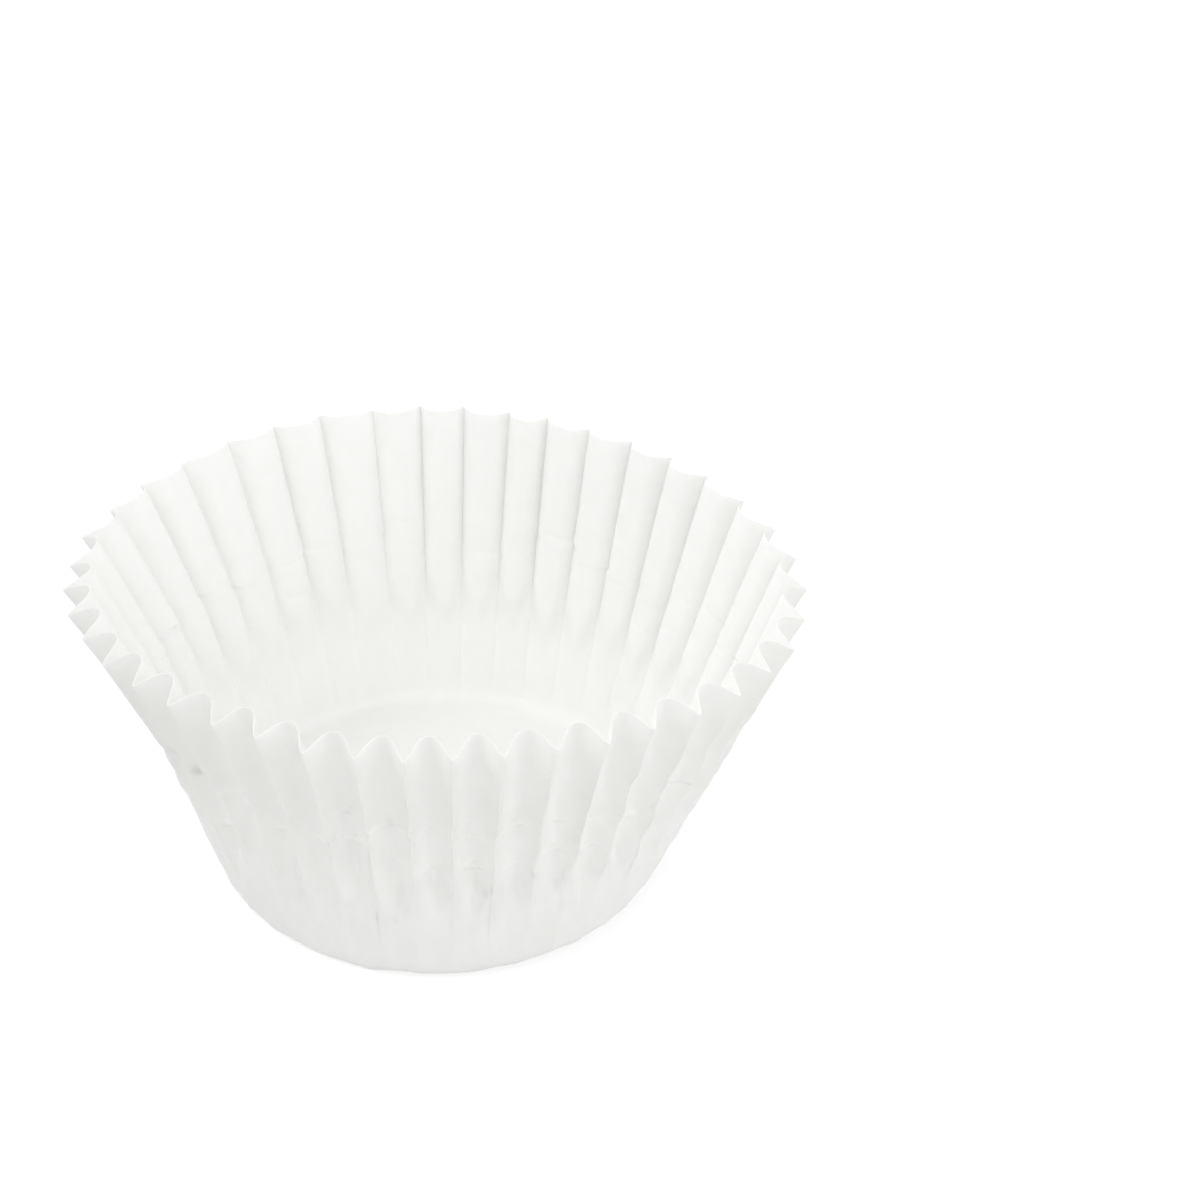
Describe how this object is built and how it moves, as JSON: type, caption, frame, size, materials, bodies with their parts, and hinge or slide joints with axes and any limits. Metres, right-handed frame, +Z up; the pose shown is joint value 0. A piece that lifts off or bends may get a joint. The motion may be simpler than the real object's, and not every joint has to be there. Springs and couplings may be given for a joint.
{
  "type": "cupcake liner",
  "caption": "Fluted paper cupcake liner: a flat round base and a flaring wall of thin white paper, folded into 42 flutes that are crushed at half height, with an oval mouth.",
  "frame": {"origin": "middle of the flat base, on the surface that the liner stands on", "axes": "+X along the longer way across the oval mouth, +Y across it, +Z up out of the mouth"},
  "size_m": [0.081, 0.0648, 0.0375],
  "materials": {
    "paper": "matte white greaseproof paper, thin enough to let light through"
  },
  "bodies": {
    "root": {"paper_liner": "paper"}
  },
  "joints": []
}
